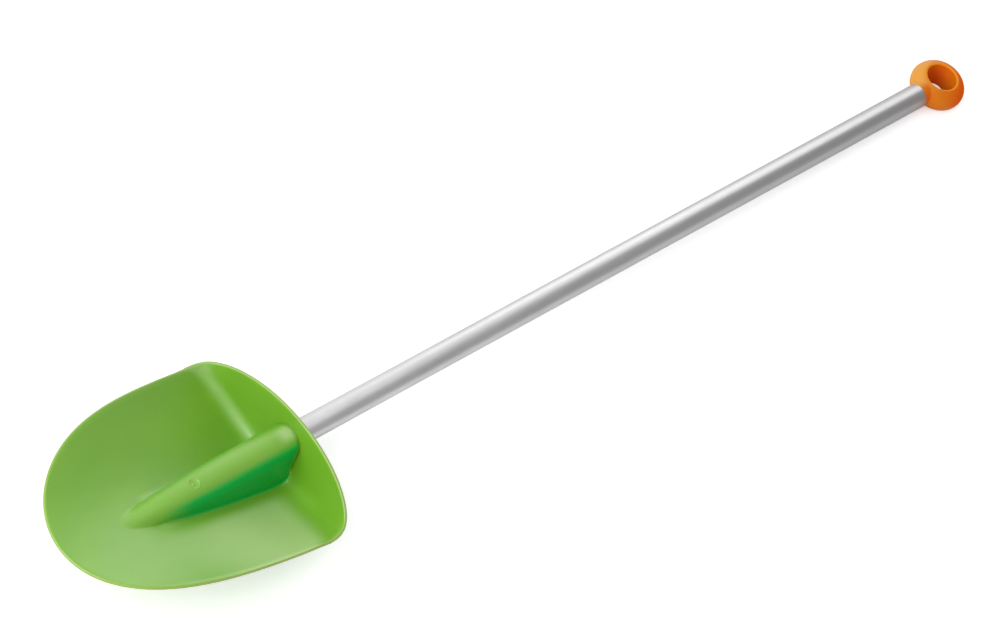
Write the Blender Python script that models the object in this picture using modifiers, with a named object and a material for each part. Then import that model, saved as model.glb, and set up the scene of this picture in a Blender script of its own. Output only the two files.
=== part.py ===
# Scoop-shaped spade: a moulded blade and a moulded knob, both pressed onto an aluminium tube.
# The tool is modelled in its own axes: X runs along the tube from the blade to the knob, Y across,
# and Z points out of the open side of the scoop. X = 0 lies on the tube, just behind the back wall.
# Every piece hangs on one empty, which lays the tool down on its heel and its knob, on z = 0.

import math

import bmesh
import bpy
import numpy as np
from mathutils import Matrix, Vector

# Tube
TUBE_RADIUS = 0.010
TUBE_WALL = 0.0012
TUBE_CHAMFER = 0.0004
TUBE_FRONT_X = -0.140
TUBE_LENGTH = 0.7942
FIT_GAP = 0.0003

# Outline of the blade seen from above: a bowed back edge, rounded corners, and one long curve
# down each side and round the nose
BLADE_WALL = 0.0028
HALF_WIDTH = 0.0871
HEEL_X = -0.049
CORNER_X = -0.0824
TIP_X = -0.2867
NOSE_CENTRE_X = -0.0285
NOSE_POWER_X = 4.3
NOSE_POWER_Y = 2.0
HEEL_POWER_X = 3.4
HEEL_POWER_Y = 2.5

# Floor of the blade: its middle line from the heel to the tip, and how it curls up to the sides
FLOOR_BACK_X = -0.057
FLOOR_BACK_Z = -0.0349
FLOOR_BACK_HANDLE = 0.0428
FLOOR_BACK_SLOPE = 0.117
FLOOR_TIP_Z = 0.0208
FLOOR_TIP_HANDLE = 0.0843
FLOOR_TIP_SLOPE = 0.117
CURL_BACK = 4.4
CURL_TIP = 3.5

# Back wall
WALL_TOP_Z = 0.0252
WALL_FOOT_X = -0.0500
WALL_FOOT_POWER_X = 2.7
WALL_FOOT_POWER_Y = 1.55
WALL_FILLET = 0.013

# Socket ridge on the floor
RIDGE_CLEARANCE = 0.0013
RIDGE_RADIUS = TUBE_RADIUS + FIT_GAP + RIDGE_CLEARANCE + BLADE_WALL
RIDGE_DRAFT = math.radians(4.0)
RIDGE_FOOT_FILLET = 0.0035
RIDGE_WALL_FILLET = 0.0038
RIDGE_TIP_BLEND = 0.0053
RIDGE_TAPER_X = -0.110
RIDGE_TIP_X = -0.214
RIDGE_TIP_DROP = 0.0062
RIDGE_TIP_NARROWING = 0.0052

# Webs under the ridge that hold the tube
WEB_THICKNESS = 0.0026
WEB_COUNT = 5
WEB_RECESS = 0.0040
MOUTH_DEPTH = 0.0085

# Gate mark on the crest of the ridge
DIMPLE_X = -0.151
DIMPLE_RADIUS = 0.0044
DIMPLE_DEPTH = 0.0010

# Knob: a bead round a hanging hole whose axis crosses the tube's and which narrows downwards
KNOB_RADIUS = 0.0232
KNOB_OVER_TUBE = 0.0001
KNOB_HALF_HEIGHT = TUBE_RADIUS + KNOB_OVER_TUBE
KNOB_PROFILE_POWER = 0.8
KNOB_LIP_WIDTH = 0.0011
KNOB_HOLE_TOP_RADIUS = 0.0127
KNOB_HOLE_BOTTOM_RADIUS = 0.0088
KNOB_TOP_LIP_RADIUS = KNOB_HOLE_TOP_RADIUS + KNOB_LIP_WIDTH
KNOB_BOTTOM_LIP_RADIUS = KNOB_HOLE_BOTTOM_RADIUS + KNOB_LIP_WIDTH
KNOB_CENTRE_FROM_TUBE = 0.0240
SPIGOT_LENGTH = 0.030
SPIGOT_WALL = 0.0032
SPIGOT_CHAMFER = 0.0012
NECK_FLOOR = 0.004

# Flats that the tool lies on
HEEL_LAND_SETBACK = 0.009
HEEL_LAND_DEPTH = 0.0009
KNOB_LAND_DEPTH = 0.0003

# Fineness of the meshes
RIDGE_COLUMNS = 9
RIDGE_CROWDING = 1.5
FLOOR_COLUMNS = 11
EDGE_CROWDING = 1.3
CORNER_START_X = -0.0680
CORNER_END_X = -0.0920
WALL_ROWS = 4
FILLET_ROWS = 4
FILLET_GROWTH_COLUMNS = 6
FILLET_WALL_SHARE = 0.45
ARCH_WEB_STEPS = 6
FLOOR_ROWS = 25
NOSE_COLUMN_SHARE = 0.55
FLOOR_LINE_STEPS = 600
FLOOR_LINE_OVERRUN = 0.1
RIM_ROUNDING = 0.0007
RIM_SEGMENTS = 2
RIM_ANGLE = math.radians(75.0)
SMOOTH_ANGLE = math.radians(35.0)
ROUND_STEPS = 48
KNOB_STEPS = 56
KNOB_PROFILE_STEPS = 7
LIP_STEPS = 3
BALL_STEPS = 28
MERGE = 0.00005
BEYOND = 0.002
GROUND_SIZE = 2.0
SETTLING_ROUNDS = 8
HALVING_ROUNDS = 40

TUBE_BACK_X = TUBE_FRONT_X + TUBE_LENGTH
NECK_X = TUBE_BACK_X + FIT_GAP
KNOB_X = TUBE_BACK_X + KNOB_CENTRE_FROM_TUBE
FOOT_COLUMN = RIDGE_COLUMNS + 2
LAST_COLUMN = FOOT_COLUMN + FLOOR_COLUMNS


def clear_scene():
    for obj in list(bpy.data.objects):
        bpy.data.objects.remove(obj, do_unlink=True)


def new_collection(name):
    collection = bpy.data.collections.new(name)
    bpy.context.scene.collection.children.link(collection)
    return collection


def new_material(name, colour, roughness, metallic):
    material = bpy.data.materials.new(name)
    material.use_nodes = True
    shader = material.node_tree.nodes["Principled BSDF"]
    shader.inputs["Base Color"].default_value = (*colour, 1.0)
    shader.inputs["Roughness"].default_value = roughness
    shader.inputs["Metallic"].default_value = metallic
    return material


def mesh_object(name, collection, vertices, edges, faces):
    mesh = bpy.data.meshes.new(name)
    mesh.from_pydata([tuple(vertex) for vertex in vertices], edges, faces)
    mesh.update()
    obj = bpy.data.objects.new(name, mesh)
    collection.objects.link(obj)
    return obj


def add_boolean(obj, other, operation):
    modifier = obj.modifiers.new(other.name, "BOOLEAN")
    modifier.solver = "EXACT"
    modifier.operation = operation
    modifier.object = other


def hide_as_cutter(obj):
    obj.hide_render = True
    obj.display_type = "WIRE"


def turned_object(name, collection, profile, steps, closed):
    # A profile of (radius, height) points, turned round its own Z axis from half a step off +X
    edges = [(i, i + 1) for i in range(len(profile) - 1)]
    if closed:
        edges.append((len(profile) - 1, 0))
    start = Matrix.Rotation(math.pi / steps, 3, "Z")
    points = [start @ Vector((r, 0.0, z)) for r, z in profile]
    obj = mesh_object(name, collection, points, edges, [])
    screw = obj.modifiers.new("turn", "SCREW")
    screw.axis = "Z"
    screw.steps = steps
    screw.render_steps = steps
    screw.use_merge_vertices = True
    screw.merge_threshold = MERGE
    return obj


# Floor

def cubic_curve(points, t):
    weights = np.array([(1 - t) ** 3, 3 * (1 - t) ** 2 * t, 3 * (1 - t) * t ** 2, t ** 3])
    return weights.T @ np.array(points)


def floor_middle_line():
    points = [
        (FLOOR_BACK_X, FLOOR_BACK_Z),
        (FLOOR_BACK_X - FLOOR_BACK_HANDLE, FLOOR_BACK_Z + FLOOR_BACK_SLOPE * FLOOR_BACK_HANDLE),
        (TIP_X + FLOOR_TIP_HANDLE, FLOOR_TIP_Z - FLOOR_TIP_SLOPE * FLOOR_TIP_HANDLE),
        (TIP_X, FLOOR_TIP_Z),
    ]
    steps = np.linspace(-FLOOR_LINE_OVERRUN, 1.0 + FLOOR_LINE_OVERRUN, FLOOR_LINE_STEPS + 1)
    return cubic_curve(points, steps)[::-1]


FLOOR_LINE = floor_middle_line()


def floor_z(x, y):
    middle = float(np.interp(x, FLOOR_LINE[:, 0], FLOOR_LINE[:, 1]))
    share = min(max((FLOOR_BACK_X - x) / (FLOOR_BACK_X - TIP_X), 0.0), 1.0)
    return middle + (CURL_BACK + (CURL_TIP - CURL_BACK) * share) * y * y


# Outline

def side_y(x):
    share = min(max((NOSE_CENTRE_X - x) / (NOSE_CENTRE_X - TIP_X), 0.0), 1.0)
    return HALF_WIDTH * (1.0 - share ** NOSE_POWER_X) ** (1.0 / NOSE_POWER_Y)


def nose_x(y):
    share = (1.0 - min(y / HALF_WIDTH, 1.0) ** NOSE_POWER_Y) ** (1.0 / NOSE_POWER_X)
    return NOSE_CENTRE_X - share * (NOSE_CENTRE_X - TIP_X)


def corner_to_middle_x(y, middle_x, power_x, power_y):
    share = (1.0 - min(y / HALF_WIDTH, 1.0) ** power_y) ** (1.0 / power_x)
    return CORNER_X + share * (middle_x - CORNER_X)


def back_rim(y):
    corner_z = floor_z(CORNER_X, HALF_WIDTH)
    z = corner_z + (WALL_TOP_Z - corner_z) * (1.0 - min(y / HALF_WIDTH, 1.0) ** 2)
    return corner_to_middle_x(y, HEEL_X, HEEL_POWER_X, HEEL_POWER_Y), z


def wall_x(y, z):
    # The back wall is straight from its foot up to the rim
    foot_x = corner_to_middle_x(y, WALL_FOOT_X, WALL_FOOT_POWER_X, WALL_FOOT_POWER_Y)
    foot_z = floor_z(foot_x, y)
    rim_x, rim_z = back_rim(y)
    return foot_x + (rim_x - foot_x) * (z - foot_z) / (rim_z - foot_z)


# Socket ridge: a round back on two drafted sides, lower and narrower towards its tip

def taper_share(x):
    return max((RIDGE_TAPER_X - x) / (RIDGE_TAPER_X - RIDGE_TIP_X), 0.0) ** 2


def ridge_radius(x):
    return RIDGE_RADIUS - RIDGE_TIP_NARROWING * min(taper_share(x), 1.0)


def ridge_crest_z(x):
    return RIDGE_RADIUS - RIDGE_TIP_DROP * taper_share(x)


def quarter_length(x):
    return ridge_radius(x) * (math.pi / 2 - RIDGE_DRAFT)


def ridge_point(x, length):
    # The point at a length measured from the crest round the back and down the side
    radius = ridge_radius(x)
    angle = min(length, quarter_length(x)) / radius
    y = radius * math.sin(angle)
    z = ridge_crest_z(x) - radius + radius * math.cos(angle)
    rest = max(length - quarter_length(x), 0.0)
    return y + rest * math.sin(RIDGE_DRAFT), z - rest * math.cos(RIDGE_DRAFT)


def foot_length(x):
    # Length from the crest to where the ridge meets the floor
    low = 0.0
    high = quarter_length(x) + WALL_TOP_Z - FLOOR_BACK_Z
    for _ in range(HALVING_ROUNDS):
        middle = (low + high) / 2
        y, z = ridge_point(x, middle)
        if z > floor_z(x, y):
            low = middle
        else:
            high = middle
    return low


def smooth_max(a, b, blend):
    mix = max(blend - abs(a - b), 0.0) / blend
    return max(a, b) + 0.25 * blend * mix ** 2


def ridge_section(x):
    # (y, z) of each column that crosses the ridge, from the crest to just outside its foot
    fillet = RIDGE_FOOT_FILLET
    length = max(foot_length(x), quarter_length(x))
    dives = foot_length(x) < quarter_length(x)
    section = []
    for column in range(RIDGE_COLUMNS + 1):
        share = (column / RIDGE_COLUMNS) ** RIDGE_CROWDING
        y, z = ridge_point(x, share * (length - fillet))
        if dives:
            z = smooth_max(z, floor_z(x, y), RIDGE_TIP_BLEND)
        section.append((y, z))
    foot_y, foot_z = ridge_point(x, length)
    start_y, start_z = ridge_point(x, length - fillet)
    end_y = foot_y + fillet
    end_z = floor_z(x, end_y)
    y = 0.25 * start_y + 0.5 * foot_y + 0.25 * end_y
    z = 0.25 * start_z + 0.5 * foot_z + 0.25 * end_z
    if dives:
        z = smooth_max(ridge_point(x, length)[1], floor_z(x, y), RIDGE_TIP_BLEND)
    section.append((y, z))
    section.append((end_y, end_z))
    return section


NOSE_CORNER_X = nose_x(NOSE_COLUMN_SHARE * HALF_WIDTH)


# Inner surface of the blade, as columns of points that start on the back rim, run down the back
# wall, turn in a fillet and go on over the floor or the ridge to the nose

def column_share(column):
    # How far a floor column lies from the ridge's foot to the side rim, 0 to 1
    rest = 1.0 - (column - FOOT_COLUMN) / FLOOR_COLUMNS
    return 1.0 - rest ** EDGE_CROWDING


def surface_point(column, x, outer_y):
    section = ridge_section(x)
    if column < len(section):
        return Vector((x, *section[column]))
    inner_y = section[-1][0]
    y = inner_y + column_share(column) * (outer_y - inner_y)
    return Vector((x, y, floor_z(x, y)))


def bend(start, corner, end, share):
    return start * (1 - share) ** 2 + corner * 2 * share * (1 - share) + end * share ** 2


def fillet_size(column, wall_height):
    # Small round the ridge, growing to the full fillet a few columns outside it
    share = min(max((column - RIDGE_COLUMNS + 1) / FILLET_GROWTH_COLUMNS, 0.0), 1.0)
    size = RIDGE_WALL_FILLET + (WALL_FILLET - RIDGE_WALL_FILLET) * share
    return min(size, FILLET_WALL_SHARE * wall_height)


def rim_corner_point(x):
    # On the rim where the back edge turns into the side edge
    if x < CORNER_X:
        return Vector((x, side_y(x), floor_z(x, side_y(x))))
    share = (x - CORNER_X) / (HEEL_X - CORNER_X)
    y = HALF_WIDTH * (1.0 - share ** HEEL_POWER_X) ** (1.0 / HEEL_POWER_Y)
    return Vector((x, y, back_rim(y)[1]))


def side_column():
    # The last column has no wall left: its wall and fillet rows follow the rim round the corner
    points = []
    for row in range(WALL_ROWS + FILLET_ROWS):
        x = CORNER_START_X + (CORNER_END_X - CORNER_START_X) * row / (WALL_ROWS + FILLET_ROWS)
        points.append(rim_corner_point(x))
    for row in range(FLOOR_ROWS + 1):
        x = side_x(row)
        points.append(Vector((x, side_y(x), floor_z(x, side_y(x)))))
    return points


def side_x(row):
    # Where a floor row meets the side rim
    return CORNER_END_X + (NOSE_CORNER_X - CORNER_END_X) * row / FLOOR_ROWS


def blade_column(column):
    if column == LAST_COLUMN:
        return side_column()
    foot = surface_point(column, WALL_FOOT_X, HALF_WIDTH)
    for _ in range(SETTLING_ROUNDS):
        foot = surface_point(column, wall_x(foot.y, foot.z), HALF_WIDTH)
    rim_x, rim_z = back_rim(foot.y)
    size = fillet_size(column, rim_z - foot.z)
    wall_end_z = foot.z + size
    wall_end = Vector((wall_x(foot.y, wall_end_z), foot.y, wall_end_z))
    floor_start = surface_point(column, foot.x - size, HALF_WIDTH)
    points = []
    for row in range(WALL_ROWS):
        points.append(Vector((rim_x, foot.y, rim_z)).lerp(wall_end, row / WALL_ROWS))
    for row in range(FILLET_ROWS):
        points.append(bend(wall_end, foot, floor_start, row / FILLET_ROWS))
    end = surface_point(column, NOSE_CORNER_X, side_y(NOSE_CORNER_X))
    for _ in range(SETTLING_ROUNDS):
        end = surface_point(column, nose_x(end.y), side_y(NOSE_CORNER_X))
    for row in range(FLOOR_ROWS + 1):
        x = floor_start.x + (end.x - floor_start.x) * row / FLOOR_ROWS
        points.append(surface_point(column, x, side_y(side_x(row))))
    return points


def blade_shell(collection):
    columns = [blade_column(column) for column in range(LAST_COLUMN + 1)]
    rows = len(columns[0])
    vertices = [columns[column][row] for row in range(rows) for column in range(len(columns))]
    faces = []
    for row in range(rows - 1):
        for column in range(len(columns) - 1):
            corner = row * len(columns) + column
            faces.append((corner, corner + 1, corner + 1 + len(columns), corner + len(columns)))
    blade = mesh_object("scoop_blade", collection, vertices, [], faces)
    mirror = blade.modifiers.new("other half", "MIRROR")
    mirror.use_axis = (False, True, False)
    mirror.merge_threshold = MERGE
    solidify = blade.modifiers.new("wall", "SOLIDIFY")
    solidify.thickness = BLADE_WALL
    solidify.offset = -1.0
    solidify.use_even_offset = True
    bevel = blade.modifiers.new("rim", "BEVEL")
    bevel.limit_method = "ANGLE"
    bevel.angle_limit = RIM_ANGLE
    bevel.width = RIM_ROUNDING
    bevel.segments = RIM_SEGMENTS
    return blade


# What is joined to the shell and cut out of it

def plate_object(name, collection, outline, x, thickness):
    # A flat (y, z) outline, extruded along X and centred on x
    mesh = bpy.data.meshes.new(name)
    shape = bmesh.new()
    ring = [shape.verts.new((x - thickness / 2, y, z)) for y, z in outline]
    face = shape.faces.new(ring)
    extruded = bmesh.ops.extrude_face_region(shape, geom=[face])
    moved = [item for item in extruded["geom"] if isinstance(item, bmesh.types.BMVert)]
    bmesh.ops.translate(shape, verts=moved, vec=(thickness, 0.0, 0.0))
    bmesh.ops.recalc_face_normals(shape, faces=shape.faces)
    shape.to_mesh(mesh)
    shape.free()
    obj = bpy.data.objects.new(name, mesh)
    collection.objects.link(obj)
    hide_as_cutter(obj)
    return obj


def web_outline(x):
    # The section under the ridge, out to the middle of the ridge's wall
    bottom_z = floor_z(x, 0.0) - BLADE_WALL + WEB_RECESS
    half = []
    for step in range(ARCH_WEB_STEPS + 1):
        y, z = ridge_point(x, quarter_length(x) * step / ARCH_WEB_STEPS)
        half.append((y * (1 - BLADE_WALL / 2 / ridge_radius(x)), z - BLADE_WALL / 2))
    foot_y = half[-1][0] + (half[-1][1] - bottom_z) * math.tan(RIDGE_DRAFT)
    half.append((foot_y, bottom_z))
    return half + [(-y, z) for y, z in reversed(half[1:])]


def web_places():
    # Thin webs share out the socket between its mouth and the stop in front of the tube
    mouth_x = WALL_FOOT_X - MOUTH_DEPTH
    stop_x = TUBE_FRONT_X - FIT_GAP - WEB_THICKNESS / 2
    return [mouth_x + (stop_x - mouth_x) * step / WEB_COUNT for step in range(WEB_COUNT + 1)]


def cylinder_cutter(name, collection, radius, length, centre, along_x):
    mesh = bpy.data.meshes.new(name)
    shape = bmesh.new()
    turn = Matrix.Rotation(math.pi / 2, 4, "Y") if along_x else Matrix.Identity(4)
    place = Matrix.Translation(centre) @ turn
    bmesh.ops.create_cone(shape, cap_ends=True, segments=ROUND_STEPS, radius1=radius,
                          radius2=radius, depth=length, matrix=place)
    shape.to_mesh(mesh)
    shape.free()
    obj = bpy.data.objects.new(name, mesh)
    collection.objects.link(obj)
    hide_as_cutter(obj)
    return obj


def dimple_cutter(collection):
    # A ball large enough to leave a shallow round dimple of the stated radius and depth
    ball_radius = (DIMPLE_RADIUS ** 2 + DIMPLE_DEPTH ** 2) / (2 * DIMPLE_DEPTH)
    mesh = bpy.data.meshes.new("gate dimple")
    shape = bmesh.new()
    height = ridge_crest_z(DIMPLE_X) - DIMPLE_DEPTH + ball_radius
    half_step = Matrix.Rotation(math.pi / BALL_STEPS, 4, "Z")
    bmesh.ops.create_uvsphere(shape, u_segments=BALL_STEPS, v_segments=BALL_STEPS,
                              radius=ball_radius,
                              matrix=Matrix.Translation((DIMPLE_X, 0.0, height)) @ half_step)
    shape.to_mesh(mesh)
    shape.free()
    obj = bpy.data.objects.new("gate dimple", mesh)
    collection.objects.link(obj)
    hide_as_cutter(obj)
    return obj


def floor_plane_cutter(collection):
    # Everything below z = 0 in the tool's resting place
    mesh = bpy.data.meshes.new("ground")
    shape = bmesh.new()
    bmesh.ops.create_cube(shape, size=GROUND_SIZE,
                          matrix=Matrix.Translation((0.0, 0.0, -GROUND_SIZE / 2)))
    shape.to_mesh(mesh)
    shape.free()
    obj = bpy.data.objects.new("ground", mesh)
    collection.objects.link(obj)
    hide_as_cutter(obj)
    return obj


def make_blade(collection, cutters, frame, ground):
    blade = blade_shell(collection)
    blade.parent = frame
    for number, x in enumerate(web_places()):
        web = plate_object(f"web {number}", cutters, web_outline(x), x, WEB_THICKNESS)
        web.parent = frame
        add_boolean(blade, web, "UNION")
    bore_end_x = TUBE_FRONT_X - FIT_GAP
    bore_length = WALL_FOOT_X + 2 * BLADE_WALL + BEYOND - bore_end_x
    bore = cylinder_cutter("socket bore", cutters, TUBE_RADIUS + FIT_GAP, bore_length,
                           (bore_end_x + bore_length / 2, 0.0, 0.0), True)
    for cutter in (bore, dimple_cutter(cutters)):
        cutter.parent = frame
        add_boolean(blade, cutter, "DIFFERENCE")
    add_boolean(blade, ground, "DIFFERENCE")
    blade.data.materials.append(new_material("green_plastic", (0.16, 0.43, 0.035), 0.35, 0.0))
    return blade


# Tube

def make_tube(collection, frame):
    inner = TUBE_RADIUS - TUBE_WALL
    chamfer = TUBE_CHAMFER
    profile = [
        (inner + chamfer, TUBE_LENGTH),
        (TUBE_RADIUS - chamfer, TUBE_LENGTH),
        (TUBE_RADIUS, TUBE_LENGTH - chamfer),
        (TUBE_RADIUS, chamfer),
        (TUBE_RADIUS - chamfer, 0.0),
        (inner + chamfer, 0.0),
        (inner, chamfer),
        (inner, TUBE_LENGTH - chamfer),
    ]
    tube = turned_object("shaft_tube", collection, profile, ROUND_STEPS, True)
    tube.rotation_euler = (0.0, math.pi / 2, 0.0)
    tube.location = (TUBE_FRONT_X, 0.0, 0.0)
    tube.parent = frame
    tube.data.materials.append(new_material("satin_aluminium", (0.78, 0.78, 0.79), 0.32, 1.0))
    return tube


# Knob

def lip_point(lip_radius, side, angle):
    # The lip turns in a quarter round from the bead's end face to the wall of the hole
    r = lip_radius - KNOB_LIP_WIDTH * math.sin(angle)
    return r, side * (KNOB_HALF_HEIGHT - KNOB_LIP_WIDTH * (1 - math.cos(angle)))


def bead_profile():
    # Outside from the top lip round to the bottom lip, then up the wall of the hole
    profile = []
    for step in range(2 * KNOB_PROFILE_STEPS + 1):
        angle = math.pi / 2 * (1 - step / KNOB_PROFILE_STEPS)
        across = abs(math.cos(angle)) ** KNOB_PROFILE_POWER
        up = abs(math.sin(angle)) ** KNOB_PROFILE_POWER
        lip_radius = KNOB_TOP_LIP_RADIUS if angle > 0.0 else KNOB_BOTTOM_LIP_RADIUS
        r = lip_radius + (KNOB_RADIUS - lip_radius) * across
        profile.append((r, math.copysign(KNOB_HALF_HEIGHT * up, angle)))
    angles = [math.pi / 2 * (step + 1) / LIP_STEPS for step in range(LIP_STEPS)]
    for angle in angles:
        profile.append(lip_point(KNOB_BOTTOM_LIP_RADIUS, -1, angle))
    for angle in reversed(angles):
        profile.append(lip_point(KNOB_TOP_LIP_RADIUS, 1, angle))
    return profile


def neck_profile():
    # Neck of the tube's diameter, then the spigot that goes into the tube
    spigot_radius = TUBE_RADIUS - TUBE_WALL - FIT_GAP
    neck_end = KNOB_X - NECK_X - KNOB_TOP_LIP_RADIUS - FIT_GAP
    return [
        (0.0, neck_end),
        (TUBE_RADIUS, neck_end),
        (TUBE_RADIUS, TUBE_CHAMFER),
        (TUBE_RADIUS - TUBE_CHAMFER, 0.0),
        (spigot_radius, 0.0),
        (spigot_radius, -SPIGOT_LENGTH + SPIGOT_CHAMFER),
        (spigot_radius - SPIGOT_CHAMFER, -SPIGOT_LENGTH),
        (spigot_radius - SPIGOT_WALL, -SPIGOT_LENGTH),
        (spigot_radius - SPIGOT_WALL, -NECK_FLOOR),
        (0.0, -NECK_FLOOR),
    ]


def make_knob(collection, cutters, frame, ground):
    knob = turned_object("end_knob", collection, bead_profile(), KNOB_STEPS, True)
    knob.location = (KNOB_X, 0.0, 0.0)
    knob.parent = frame
    neck = turned_object("neck and spigot", cutters, neck_profile(), ROUND_STEPS, False)
    neck.rotation_euler = (0.0, math.pi / 2, 0.0)
    neck.location = (NECK_X, 0.0, 0.0)
    neck.parent = frame
    hide_as_cutter(neck)
    add_boolean(knob, neck, "UNION")
    add_boolean(knob, ground, "DIFFERENCE")
    knob.data.materials.append(new_material("orange_plastic", (0.80, 0.23, 0.015), 0.38, 0.0))
    return knob


# Resting place

def ridge_side_foot_y(x):
    return ridge_point(x, foot_length(x))[0]


def heel_land_point():
    # On the outside of the heel, beside the channel under the ridge
    x = WALL_FOOT_X - HEEL_LAND_SETBACK
    y = ridge_side_foot_y(x)
    return x, floor_z(x, y) - BLADE_WALL + HEEL_LAND_DEPTH


def knob_land_point():
    return KNOB_X + KNOB_TOP_LIP_RADIUS, -KNOB_HALF_HEIGHT + KNOB_LAND_DEPTH


def make_frame(collection):
    # Turns the tool until both lands lie on z = 0
    frame = bpy.data.objects.new("spade_frame", None)
    collection.objects.link(frame)
    heel_x, heel_z = heel_land_point()
    knob_x, knob_z = knob_land_point()
    tilt = math.atan2(knob_z - heel_z, knob_x - heel_x)
    frame.rotation_euler = (0.0, tilt, 0.0)
    turn = Matrix.Rotation(tilt, 4, "Y")
    frame.location = (0.0, 0.0, -(turn @ Vector((heel_x, 0.0, heel_z))).z)
    return frame


def centre_along_x(frame, pieces):
    bpy.context.view_layer.update()
    depsgraph = bpy.context.evaluated_depsgraph_get()
    ends = []
    for piece in pieces:
        evaluated = piece.evaluated_get(depsgraph)
        mesh = evaluated.to_mesh()
        ends += [(evaluated.matrix_world @ vertex.co).x for vertex in mesh.vertices]
        evaluated.to_mesh_clear()
    frame.location.x -= (min(ends) + max(ends)) / 2


def shade_round(piece):
    piece.data.shade_smooth()
    piece.data.set_sharp_from_angle(angle=SMOOTH_ANGLE)


def main():
    clear_scene()
    parts = new_collection("spade")
    cutters = new_collection("spade_cutters")
    frame = make_frame(parts)
    ground = floor_plane_cutter(cutters)
    pieces = [
        make_blade(parts, cutters, frame, ground),
        make_tube(parts, frame),
        make_knob(parts, cutters, frame, ground),
    ]
    for piece in pieces:
        shade_round(piece)
    centre_along_x(frame, pieces)
    bpy.context.view_layer.update()


main()
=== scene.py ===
# Scoop spade with a moulded blade, a bare tube and a ring knob.
# Everything is in metres. The tool is shaped in its own axes (X along the tube from blade to knob,
# Z out of the scoop) and then laid down on its heel and knob.

import math

import bpy
import numpy as np
from mathutils import Matrix, Vector
from mathutils.kdtree import KDTree


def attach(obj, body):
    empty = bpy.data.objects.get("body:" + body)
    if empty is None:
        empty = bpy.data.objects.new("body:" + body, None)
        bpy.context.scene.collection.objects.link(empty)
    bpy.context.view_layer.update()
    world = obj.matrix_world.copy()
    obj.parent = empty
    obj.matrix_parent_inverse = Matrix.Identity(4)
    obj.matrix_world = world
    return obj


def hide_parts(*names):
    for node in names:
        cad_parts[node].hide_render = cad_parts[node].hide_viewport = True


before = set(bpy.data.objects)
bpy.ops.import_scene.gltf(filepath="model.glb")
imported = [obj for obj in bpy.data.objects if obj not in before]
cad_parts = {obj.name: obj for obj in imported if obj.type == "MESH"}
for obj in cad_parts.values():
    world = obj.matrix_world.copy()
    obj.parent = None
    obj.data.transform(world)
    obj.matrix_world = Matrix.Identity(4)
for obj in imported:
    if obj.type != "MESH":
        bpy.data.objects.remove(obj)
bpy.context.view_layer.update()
print("stage: frame loaded")

lie = {
    "tilt": 0.0339557,      # turn about Y that brings heel and knob onto the floor
    "moveX": -0.2073657,
    "moveZ": 0.0332872,
}
toolToFloor = Matrix.Translation((lie["moveX"], 0.0, lie["moveZ"])) @ \
    Matrix.Rotation(lie["tilt"], 4, "Y")


def ease(value, low, high):
    share = min(max((value - low) / (high - low), 0.0), 1.0)
    return share * share * (3 - 2 * share)


def riseAndFall(value, riseFrom, riseTo, fallFrom, fallTo):
    return ease(value, riseFrom, riseTo) * (1.0 - ease(value, fallFrom, fallTo))


def selectOnly(obj):
    bpy.ops.object.select_all(action="DESELECT")
    obj.select_set(True)
    bpy.context.view_layer.objects.active = obj


def unpickAll(obj, kind):
    # nothing of the mesh is picked, and the next edit works on points, edges or faces
    selectOnly(obj)
    bpy.ops.object.mode_set(mode="EDIT")
    bpy.ops.mesh.select_mode(type=kind)
    bpy.ops.mesh.select_all(action="DESELECT")
    bpy.ops.object.mode_set(mode="OBJECT")


def applyAll(obj):
    selectOnly(obj)
    for modifier in list(obj.modifiers):
        bpy.ops.object.modifier_apply(modifier=modifier.name)


def layDown(obj):
    # from the tool's axes to its place on the floor, with the object left at the origin
    obj.data.transform(toolToFloor @ obj.matrix_world)
    obj.matrix_world = Matrix.Identity(4)
    obj.data.update()


def tidyMesh(obj, mergeDistance, smoothAngle):
    selectOnly(obj)
    bpy.ops.object.mode_set(mode="EDIT")
    bpy.ops.mesh.select_all(action="SELECT")
    bpy.ops.mesh.remove_doubles(threshold=mergeDistance)
    bpy.ops.mesh.normals_make_consistent(inside=False)
    bpy.ops.object.mode_set(mode="OBJECT")
    bpy.ops.object.shade_smooth_by_angle(angle=math.radians(smoothAngle))


def joinPieces(pieces, name):
    bpy.ops.object.select_all(action="DESELECT")
    for piece in pieces:
        piece.select_set(True)
    bpy.context.view_layer.objects.active = pieces[0]
    bpy.ops.object.join()
    pieces[0].name = name
    return pieces[0]


tube = {"radius": 0.010, "wall": 0.0012, "frontX": -0.140, "length": 0.7942, "gap": 0.0003,
        "sides": 96, "edge": 0.0003}

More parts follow.
